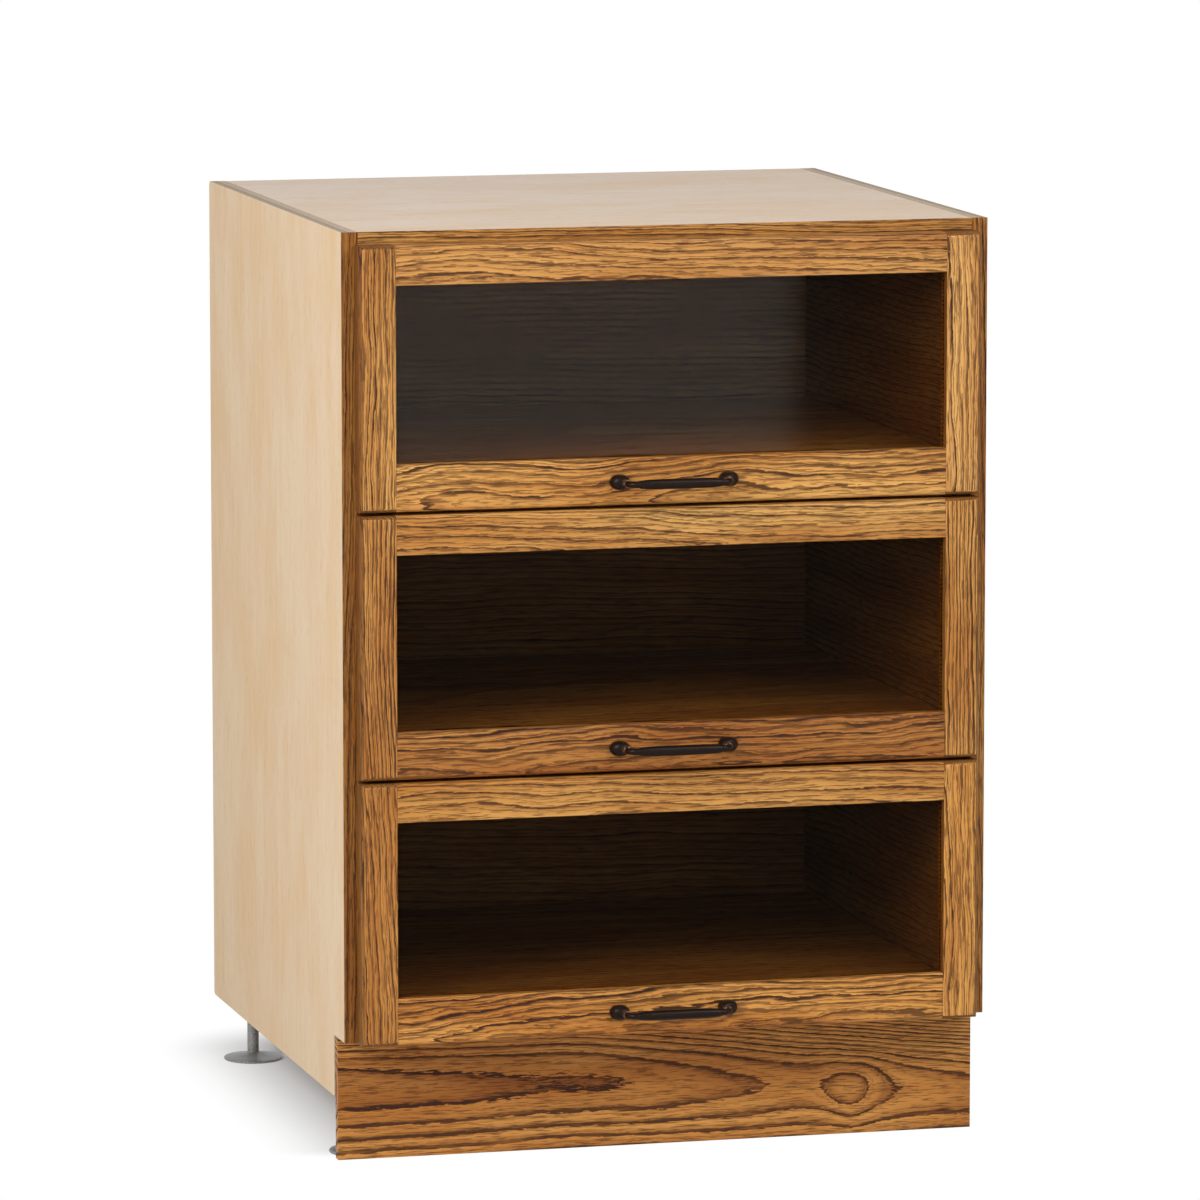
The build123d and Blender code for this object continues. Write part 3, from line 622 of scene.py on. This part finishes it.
# Darker oak for the edge faces of the stiles: painted shade.
STILE_EDGE_SHADE_OAK = oiled_oak(
    "oak_stile_edges_painted_shade", TURN_UPRIGHT, (0.6, 0.1, 0), (0.3, 0.3),
    ring=STILE_RING, tone=STILE_EDGE_SHADE_TONE,
)
for step, drawer in enumerate(DRAWERS):
    for board, tones_and_shade in FRONT_TONE_AND_SHADE.items():
        name = f"oak_{drawer}_{board}"
        if board in STILE_HEART:
            shift = [step * part for part in STILE_SHIFT]
            heart = STILE_HEART[board]
            oak = oiled_oak(name, TURN_UPRIGHT, shift, heart, tone=tones_and_shade[step], **STILE_LINES)
            eased_board(f"{drawer}_{board}", (oak, STILE_EDGE_SHADE_OAK), f"{drawer}_drawer", "oak", 1)
        else:
            down, depth = RAIL_HEART[board]
            shift = (RAIL_SHIFT * step + RAIL_START, 0, 0)
            heart = (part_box(f"{drawer}_{board}")[0].z - down, depth)
            oak = oiled_oak(name, TURN_ACROSS, shift, heart, tone=tones_and_shade[step], **RAIL_LINES[board])
            eased_board(f"{drawer}_{board}", (oak,), f"{drawer}_drawer", "oak")

# Panes: float glass in a rebate behind the frame, held by four small oak beads.
# The glass is lightly bronzed, which keeps the inside of the drawers dark.
GLASS_TINT = (0.53, 0.455, 0.36, 1)
GLASS_IOR = 1.1
GLASS_HAZE = 0.05
BEAD_TONE = (0.8, 0.8, 0.8)


def bronzed_glass():
    """Tinted glass with a faint, even haze, which lets lamp light straight through."""
    material, tree, shader = new_finish("bronzed_glass")
    shader.inputs["Base Color"].default_value = GLASS_TINT
    shader.inputs["Transmission Weight"].default_value = 1.0
    shader.inputs["IOR"].default_value = GLASS_IOR
    shader.inputs["Roughness"].default_value = GLASS_HAZE
    clear = add(tree, "ShaderNodeBsdfTransparent", {"Color": GLASS_TINT})
    lamp_light = add(tree, "ShaderNodeLightPath").outputs["Is Shadow Ray"]
    sockets = {0: lamp_light, 1: shader.outputs[0], 2: clear.outputs[0]}
    mix = add(tree, "ShaderNodeMixShader", sockets)
    tree.links.new(mix.outputs[0], tree.nodes["Material Output"].inputs["Surface"])
    return material


GLASS = bronzed_glass()
BEAD_OAK = oiled_oak(
    "oak_beads", TURN_ACROSS, (0.7, 0.2, 0), (0.3, 0.3), ring=0.004, tone=BEAD_TONE
)
for drawer in DRAWERS:
    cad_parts[f"{drawer}_glass"].data.materials[0] = GLASS
    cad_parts[f"{drawer}_glazing_beads"].data.materials[0] = BEAD_OAK

# Drawer boxes: oak sides tongued into the stiles, a back let into the sides and a floor
# in grooves. They are oiled inside and out, with the top edges rounded.
BOX_TURN = {
    "box_side_left": TURN_DEEP,
    "box_side_right": TURN_DEEP,
    "box_back": TURN_ACROSS,
    "box_floor": TURN_FLAT,
}
# The box boards are toned far darker than the fronts, the right side darkest: painted shade for the
# inside of the drawers.
BOX_SHADE_TONE = {
    "box_side_left": (0.50, 0.50, 0.46),
    "box_side_right": (0.30, 0.31, 0.26),
    "box_back": (0.38, 0.40, 0.40),
    "box_floor": (0.60, 0.64, 0.55),
}
BOX_HEART = {
    "box_side_left": (-0.10, -0.45),
    "box_side_right": (-0.06, 0.10),
    "box_back": (-0.09, -0.40),
    "box_floor": (0.05, -0.16),
}
BOX_SHIFT = (0.41, 0.07, 0.0)
BOX_LINES = {"ring": 0.006, "share": 0.20, "lean": 0.02, "sway": 0.005}
for step, drawer in enumerate(DRAWERS):
    shift = [step * part for part in BOX_SHIFT]
    for board, turn in BOX_TURN.items():
        name = f"oak_{drawer}_{board}"
        oak = oiled_oak(name, turn, shift, BOX_HEART[board], tone=BOX_SHADE_TONE[board], **BOX_LINES)
        eased_board(f"{drawer}_{board}", (oak,), f"{drawer}_drawer", "oak")

# Handles: bow handles cast in one piece, with an oval rose at each end, a thin neck with a
# collar and a round bar between them. The bronze is dark, and rubbed to copper on the
# collars and where the necks leave the roses.
HANDLE_SIDES = 40
HANDLE_SHARP_TURN = math.radians(50)
ROSE_RADIUS = 0.0068
ROSE_STRETCH = 0.0022
ROSE_SQUARE = 3
ROSE_EDGE = 0.0003
ROSE_FOOT = 0.0016
ROSE_HEIGHT = 0.0105
ROSE_STEPS = 18
ROSE_STEP_DEGREES = 4.3
NECK_RADIUS = 0.0029
NECK_SHIFT = 0.0035
NECK_ROOT = 0.0009
NECK_ROOT_STEPS = 5
COLLAR_RADIUS = 0.0039
COLLAR_WIDTH = 0.0018
COLLAR_STEPS = 8
BEND_RADIUS = 0.008
BEND_STEPS = 12
BAR_RADIUS = 0.0046
BAR_TAPER = 0.020
BAR_TAPER_STEPS = 16
COLLAR_RUB = (0.0016, 1.0)
ROOT_RUB = (0.0012, 0.35)
RUB_CELLS = (420, 420, 420)
RUB_MOST = 0.8
BRONZE_DARK = (0.0060, 0.0040, 0.0036, 1)
BRONZE_BROWN = (0.016, 0.0095, 0.0075, 1)
BRONZE_COPPER = (0.30, 0.145, 0.070, 1)
BRONZE_TINT = (1.0, 0.78, 0.66, 1)
BRONZE_SHEEN = 0.14
BRONZE_ROUGH = (0.30, 0.40)
BRONZE_METALLIC = (0.20, 0.85)
BRONZE_GRAIN = 0.0012


def rubbed_bronze():
    """Dark bronze, rubbed through to copper round the collars and the roots of the necks."""
    material, tree, shader = new_finish("rubbed_bronze")
    place = add(tree, "ShaderNodeTexCoord").outputs["Object"]
    sockets = {"Vector": place, "Grain Size": BRONZE_GRAIN}
    mottle = add(tree, "ShaderNodeGroup", sockets, node_tree=METAL_MOTTLE).outputs
    low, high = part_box("upper_handle")
    depth = add(tree, "ShaderNodeSeparateXYZ", {0: place}).outputs[1]
    out = calc(tree, "SUBTRACT", high.y, depth)
    collar = high.y - low.y - BAR_RADIUS - BEND_RADIUS - 0.5 * COLLAR_WIDTH
    bands = []
    for middle, (half, amount) in ((collar, COLLAR_RUB), (ROSE_HEIGHT + NECK_ROOT, ROOT_RUB)):
        away = calc(tree, "ABSOLUTE", calc(tree, "SUBTRACT", out, middle))
        bands.append(spread(tree, away, 0.3 * half, half, amount, 0.0))
    patches = spread(tree, stretched_noise(tree, place, RUB_CELLS, 3.0), 0.34, 0.60)
    patches = calc(tree, "MULTIPLY", patches, RUB_MOST)
    rubbed = calc(tree, "MULTIPLY", calc(tree, "MAXIMUM", *bands), patches)
    colour = blend_colours(tree, mottle["Grain"], BRONZE_DARK, BRONZE_BROWN)
    tree.links.new(blend_colours(tree, rubbed, colour, BRONZE_COPPER), shader.inputs["Base Color"])
    tree.links.new(spread(tree, mottle["Stains"], 0, 1, *BRONZE_ROUGH), shader.inputs["Roughness"])
    tree.links.new(spread(tree, rubbed, 0, 1, *BRONZE_METALLIC), shader.inputs["Metallic"])
    shader.inputs["Specular IOR Level"].default_value = BRONZE_SHEEN
    shader.inputs["Specular Tint"].default_value = BRONZE_TINT
    raise_surface(tree, shader, mottle["Grain"], strength=0.2, depth=0.0002)
    return material


def rose_outline():
    """Shift inwards, distance out, radius and stretch, up a rose to the root of its neck."""
    rows = [
        (0, 0, ROSE_RADIUS - ROSE_EDGE, ROSE_STRETCH),
        (0, ROSE_EDGE, ROSE_RADIUS, ROSE_STRETCH),
        (0, ROSE_FOOT, ROSE_RADIUS, ROSE_STRETCH),
    ]
    for i in range(1, ROSE_STEPS + 1):
        turn = math.radians(ROSE_STEP_DEGREES * i)
        flat = math.cos(turn)
        out = ROSE_FOOT + (ROSE_HEIGHT - ROSE_FOOT) * math.sin(turn)
        radius = NECK_RADIUS + (ROSE_RADIUS - NECK_RADIUS) * flat
        rows.append((NECK_SHIFT * (1 - flat), out, radius, ROSE_STRETCH * flat))
    for i in range(1, NECK_ROOT_STEPS + 1):
        turn = math.radians(90 * i / NECK_ROOT_STEPS)
        out = ROSE_HEIGHT + NECK_ROOT * (1 - math.cos(turn))
        rows.append((NECK_SHIFT, out, NECK_RADIUS + NECK_ROOT * (1 - math.sin(turn)), 0))
    return rows


def bow_rows(half, reach):
    """Place across, distance out, heading, radius and stretch, from a rose to the full bar."""
    rows = [(half - shift, out, 0.0, radius, wide) for shift, out, radius, wide in rose_outline()]
    neck = half - NECK_SHIFT
    for i in range(COLLAR_STEPS + 1):
        turn = math.pi * i / COLLAR_STEPS
        out = reach - BEND_RADIUS - 0.5 * COLLAR_WIDTH * (1 + math.cos(turn))
        radius = NECK_RADIUS + (COLLAR_RADIUS - NECK_RADIUS) * math.sin(turn)
        rows.append((neck, out, 0.0, radius, 0))
    for i in range(1, BEND_STEPS + 1):
        turn = 0.5 * math.pi * i / BEND_STEPS
        across = neck - BEND_RADIUS * (1 - math.cos(turn))
        rows.append((across, reach - BEND_RADIUS * (1 - math.sin(turn)), turn, NECK_RADIUS, 0))
    for i in range(1, BAR_TAPER_STEPS + 1):
        turn = 0.5 * math.pi * i / BAR_TAPER_STEPS
        across = neck - BEND_RADIUS - (1 - math.cos(turn)) * BAR_TAPER
        radius = NECK_RADIUS + (BAR_RADIUS - NECK_RADIUS) * math.sin(turn)
        rows.append((across, reach, 0.5 * math.pi, radius, 0))
    return rows


def bow_rings(low, high):
    """Every ring of a bow handle, from its right rose to its left one."""
    seat = Vector(((low.x + high.x) / 2, high.y, (low.z + high.z) / 2))
    half = (high.x - low.x) / 2 - ROSE_RADIUS - ROSE_STRETCH
    rows = bow_rows(half, high.y - low.y - BAR_RADIUS)
    mirrored = [(-x, out, math.pi - turn, radius, wide) for x, out, turn, radius, wide in rows]
    rows += mirrored[::-1]
    rings = []
    for x, out, turn, radius, wide in rows:
        ring = []
        for i in range(HANDLE_SIDES):
            angle = 2 * math.pi * i / HANDLE_SIDES
            oval = math.tanh(ROSE_SQUARE * math.cos(angle)) / math.tanh(ROSE_SQUARE)
            across = radius * math.cos(angle) + wide * oval
            rise = radius * math.sin(angle)
            step = (x + across * math.cos(turn), -out - across * math.sin(turn), rise)
            ring.append(seat + Vector(step))
        rings.append(ring)
    return rings


RUBBED_BRONZE = rubbed_bronze()
for drawer in DRAWERS:
    bow = skin(bow_rings(*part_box(f"{drawer}_handle")))
    handle = place_piece(
        f"{drawer}_handle_casting", bow, (RUBBED_BRONZE,),
        f"{drawer}_drawer", "bronze", f"{drawer}_handle",
    )
    handle.data.set_sharp_from_angle(angle=HANDLE_SHARP_TURN)

# Screws: zinc-plated pan heads with a cross recess. They hold the slide members to the
# sides and boxes, the leg sockets to the bottom, the clips to the plinth and the handles
# to the bottom rails from behind.
SCREW_HEAD_RADIUS = 0.0035
SCREW_HEAD_HEIGHT = 0.0016
SCREW_SIDES = 24
SCREW_CROWN = 0.72
CROSS_LENGTH = 1.15
CROSS_WIDTH = 0.22
CROSS_LIFT = 0.9
HANDLE_HEAD_RADIUS = 0.0040
HANDLE_HEAD_HEIGHT = 0.0020
SLIDE_SCREW_INSET = 0.035
SLIDE_SHEET = 0.0012
LEG_PLATE = 0.0025
PLATE_SCREWS = ((0.005, -0.020), (0.005, 0.020), (-0.038, -0.020), (-0.038, 0.020))
FOOT_RADIUS = 0.028
CLIP_BASE = 0.003
CLIP_SCREW_RISE = 0.014


def screw_heads_tree():
    """A head with a cross cut in it on every point, facing the way the point says."""
    tree = bpy.data.node_groups.new("screw_heads", "GeometryNodeTree")
    inputs = {
        "Points": "NodeSocketGeometry",
        "Head Radius": "NodeSocketFloat",
        "Head Height": "NodeSocketFloat",
        "Finish": "NodeSocketMaterial",
    }
    for label, kind in inputs.items():
        tree.interface.new_socket(label, in_out="INPUT", socket_type=kind)
    tree.interface.new_socket("Heads", in_out="OUTPUT", socket_type="NodeSocketGeometry")
    given = tree.nodes.new("NodeGroupInput").outputs
    made = tree.nodes.new("NodeGroupOutput")
    radius, height = given["Head Radius"], given["Head Height"]
    crown = calc(tree, "MULTIPLY", radius, SCREW_CROWN)
    sockets = {
        "Vertices": SCREW_SIDES, "Radius Top": crown, "Radius Bottom": radius, "Depth": height
    }
    head = add(tree, "GeometryNodeMeshCone", sockets).outputs["Mesh"]
    length = calc(tree, "MULTIPLY", radius, CROSS_LENGTH)
    width = calc(tree, "MULTIPLY", radius, CROSS_WIDTH)
    lift = add(tree, "ShaderNodeCombineXYZ", {2: calc(tree, "MULTIPLY", height, CROSS_LIFT)})
    for first, second in ((length, width), (width, length)):
        size = add(tree, "ShaderNodeCombineXYZ", {0: first, 1: second, 2: height})
        cube = add(tree, "GeometryNodeMeshCube", {"Size": size.outputs[0]})
        sockets = {"Geometry": cube.outputs[0], "Translation": lift.outputs[0]}
        slot = add(tree, "GeometryNodeTransform", sockets)
        sockets = {"Mesh 1": head, "Mesh 2": slot.outputs[0]}
        cut = add(tree, "GeometryNodeMeshBoolean", sockets, operation="DIFFERENCE")
        head = cut.outputs["Mesh"]
    facing = add(
        tree, "GeometryNodeInputNamedAttribute", {"Name": "facing"}, data_type="FLOAT_VECTOR"
    )
    sockets = {"Vector": facing.outputs["Attribute"]}
    turn = add(tree, "FunctionNodeAlignRotationToVector", sockets, axis="Z")
    points = add(tree, "GeometryNodeMeshToPoints", {"Mesh": given["Points"]})
    sockets = {"Points": points.outputs[0], "Instance": head, "Rotation": turn.outputs[0]}
    heads = add(tree, "GeometryNodeInstanceOnPoints", sockets)
    real = add(tree, "GeometryNodeRealizeInstances", {"Geometry": heads.outputs[0]})
    sockets = {"Geometry": real.outputs[0], "Material": given["Finish"]}
    coat = add(tree, "GeometryNodeSetMaterial", sockets)
    tree.links.new(coat.outputs[0], made.inputs["Heads"])
    return tree


SCREW_HEADS = screw_heads_tree()


def screw_heads(name, seats, radius, height, body):
    """Screw heads on seats, each a place and the way its head faces, as one piece."""
    data = bpy.data.meshes.new(f"{name}_seats")
    data.from_pydata([place for place, way in seats], [], [])
    facing = data.attributes.new("facing", "FLOAT_VECTOR", "POINT")
    facing.data.foreach_set("vector", [value for place, way in seats for value in way])
    pattern = bpy.data.objects.new(f"{name}_seats", data)
    bpy.context.scene.collection.objects.link(pattern)
    modifier = pattern.modifiers.new("screw_heads", "NODES")
    modifier.node_group = SCREW_HEADS
    values = {"Head Radius": radius, "Head Height": height, "Finish": ZINC}
    for item in SCREW_HEADS.interface.items_tree:
        if item.in_out == "INPUT" and item.name in values:
            modifier[item.identifier] = values[item.name]
    pattern.update_tag()
    graph = bpy.context.evaluated_depsgraph_get()
    solid = bpy.data.meshes.new_from_object(pattern.evaluated_get(graph))
    bpy.data.objects.remove(pattern)
    solid.name = name
    piece = bpy.data.objects.new(name, solid)
    bpy.context.scene.collection.objects.link(piece)
    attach(piece, body)


def slide_seats(web, facing, node):
    """Three seats along a slide member, on its web."""
    low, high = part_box(node)
    depths = (low.y + SLIDE_SCREW_INSET, (low.y + high.y) / 2, high.y - SLIDE_SCREW_INSET)
    level = (low.z + high.z) / 2
    return [((web, y, level), (facing, 0, 0)) for y in depths]


cabinet_seats = []
inner_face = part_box("side_panel_right")[0].x
for drawer in DRAWERS:
    box_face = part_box(f"{drawer}_box_side_right")[1].x
    drawer_seats = []
    for side in (-1, 1):
        web = side * (inner_face - SLIDE_SHEET)
        cabinet_seats += slide_seats(web, -side, f"{drawer}_slide_links")
        web = side * (box_face + SLIDE_SHEET)
        drawer_seats += slide_seats(web, side, f"{drawer}_slide_rails")
    screw_heads(
        f"{drawer}_slide_screws", drawer_seats, SCREW_HEAD_RADIUS, SCREW_HEAD_HEIGHT,
        f"{drawer}_drawer",
    )
    low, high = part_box(f"{drawer}_handle")
    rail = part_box(f"{drawer}_rail_bottom")[1]
    level = (low.z + high.z) / 2
    bolt = (high.x - low.x) / 2 - ROSE_RADIUS - ROSE_STRETCH
    seats = [((x, rail.y, level), (0, 1, 0)) for x in (-bolt, bolt)]
    screw_heads(
        f"{drawer}_handle_screws", seats, HANDLE_HEAD_RADIUS, HANDLE_HEAD_HEIGHT,
        f"{drawer}_drawer",
    )
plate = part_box("bottom_panel")[0].z - LEG_PLATE
for place in FOOT_PLACES:
    low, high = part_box(f"foot_{place}")
    axis = (low + high) / 2
    side = math.copysign(1, axis.x)
    for out, along in PLATE_SCREWS:
        cabinet_seats.append(((axis.x + side * out, axis.y + along, plate), (0, 0, -1)))
low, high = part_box("plinth_clips")
clip_middle = (low.z + high.z) / 2
clip_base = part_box("plinth_board")[1].y + CLIP_BASE
foot_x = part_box("foot_front_right")[0].x + FOOT_RADIUS
for side in (-1, 1):
    for rise in (-CLIP_SCREW_RISE, CLIP_SCREW_RISE):
        cabinet_seats.append(((side * foot_x, clip_base, clip_middle + rise), (0, 1, 0)))
screw_heads(
    "cabinet_screws", cabinet_seats, SCREW_HEAD_RADIUS, SCREW_HEAD_HEIGHT, "cabinet"
)

# Stage: a pale floor, a white surround, soft lamps and the camera of the photograph.
# The floor glows white away from the cabinet, so that only the shadow near it shows.
FLOOR_SIZE = 14.0
FLOOR_COLOUR = (0.82, 0.82, 0.82, 1)
FLOOR_ROUGHNESS = 0.9
WHITE = (1, 1, 1, 1)
SHADE_LEFT = -0.21
SHADE_RIGHT = 0.27
SHADE_FRONT = -0.17
SHADE_REACH = 0.15
SHADE_NARROW = 3.0
SURROUND_LIGHT = 0.22
CAMERA_PLACE = (-1.895417, -7.236177, 1.496926)
CAMERA_TURN = (math.radians(82.204), 0, math.radians(-14.712))
CAMERA_LENS = 242.82
CAMERA_SENSOR = 36
CAMERA_REACH = 100


def seen_rays(tree):
    """One for a ray that shows the background, straight or in metal or glass."""
    path = add(tree, "ShaderNodeLightPath").outputs
    seen = calc(tree, "MAXIMUM", path["Is Camera Ray"], path["Is Glossy Ray"])
    return calc(tree, "MAXIMUM", seen, path["Is Transmission Ray"])


def beyond(tree, first, second, narrow=1.0):
    """How far the first value lies above the second, or zero."""
    apart = calc(tree, "MULTIPLY", calc(tree, "SUBTRACT", first, second), narrow)
    return calc(tree, "MAXIMUM", apart, 0.0)


data = bpy.data.meshes.new("floor")
half = FLOOR_SIZE / 2
data.from_pydata(
    [(-half, -half, 0), (half, -half, 0), (half, half, 0), (-half, half, 0)], [], [(0, 1, 2, 3)]
)
floor = bpy.data.objects.new("floor", data)
bpy.context.scene.collection.objects.link(floor)
floor_paint, tree, shader = new_finish("pale_floor")
shader.inputs["Base Color"].default_value = FLOOR_COLOUR
shader.inputs["Roughness"].default_value = FLOOR_ROUGHNESS
place = add(tree, "ShaderNodeTexCoord").outputs["Object"]
x, y = add(tree, "ShaderNodeSeparateXYZ", {0: place}).outputs[:2]
left = beyond(tree, SHADE_LEFT, x)
right = beyond(tree, x, SHADE_RIGHT, SHADE_NARROW)
front = beyond(tree, SHADE_FRONT, y, SHADE_NARROW)
behind = beyond(tree, y, cad_box[1].y)
away = distance(tree, calc(tree, "ADD", left, right), calc(tree, "ADD", front, behind))
white = calc(tree, "MULTIPLY", spread(tree, away, 0.0, SHADE_REACH), seen_rays(tree))
glow = add(tree, "ShaderNodeEmission", {"Color": WHITE, "Strength": 1.0})
mix = add(tree, "ShaderNodeMixShader", {0: white, 1: shader.outputs[0], 2: glow.outputs[0]})
tree.links.new(mix.outputs[0], tree.nodes["Material Output"].inputs["Surface"])
data.materials.append(floor_paint)

world = bpy.data.worlds.new("white_surround")
bpy.context.scene.world = world
world.use_nodes = True
tree = world.node_tree
level = spread(tree, seen_rays(tree), 0.0, 1.0, SURROUND_LIGHT, 1.0)
background = tree.nodes["Background"]
background.inputs["Color"].default_value = WHITE
tree.links.new(level, background.inputs["Strength"])

# Each lamp has its place, its size, its power in watts and the point it faces.
LAMPS = {
    "key_lamp": ((2.2, -3.0, 3.4), (2.0, 2.0), 92, (0, 0, 0.45)),
    "side_lamp": ((-2.6, -1.9, 1.9), (1.6, 1.6), 84, (0, 0, 0.45)),
    "pane_lamp": ((0.885, -4.1, 0.26), (0.67, 0.34), 4.6, (0.885, 0, 0.26)),
}
for name, (place, size, power, target) in LAMPS.items():
    lamp = bpy.data.lights.new(name, "AREA")
    lamp.shape = "RECTANGLE"
    lamp.size, lamp.size_y = size
    lamp.energy = power
    holder = bpy.data.objects.new(name, lamp)
    holder.location = place
    aim = Vector(target) - Vector(place)
    holder.rotation_euler = aim.to_track_quat("-Z", "Y").to_euler()
    holder.visible_camera = False
    bpy.context.scene.collection.objects.link(holder)

lens = bpy.data.cameras.new("camera")
lens.lens = CAMERA_LENS
lens.sensor_width = CAMERA_SENSOR
lens.clip_end = CAMERA_REACH
camera = bpy.data.objects.new("camera", lens)
camera.location = CAMERA_PLACE
camera.rotation_euler = CAMERA_TURN
bpy.context.scene.collection.objects.link(camera)
bpy.context.scene.camera = camera
bpy.context.scene.view_settings.view_transform = "Standard"
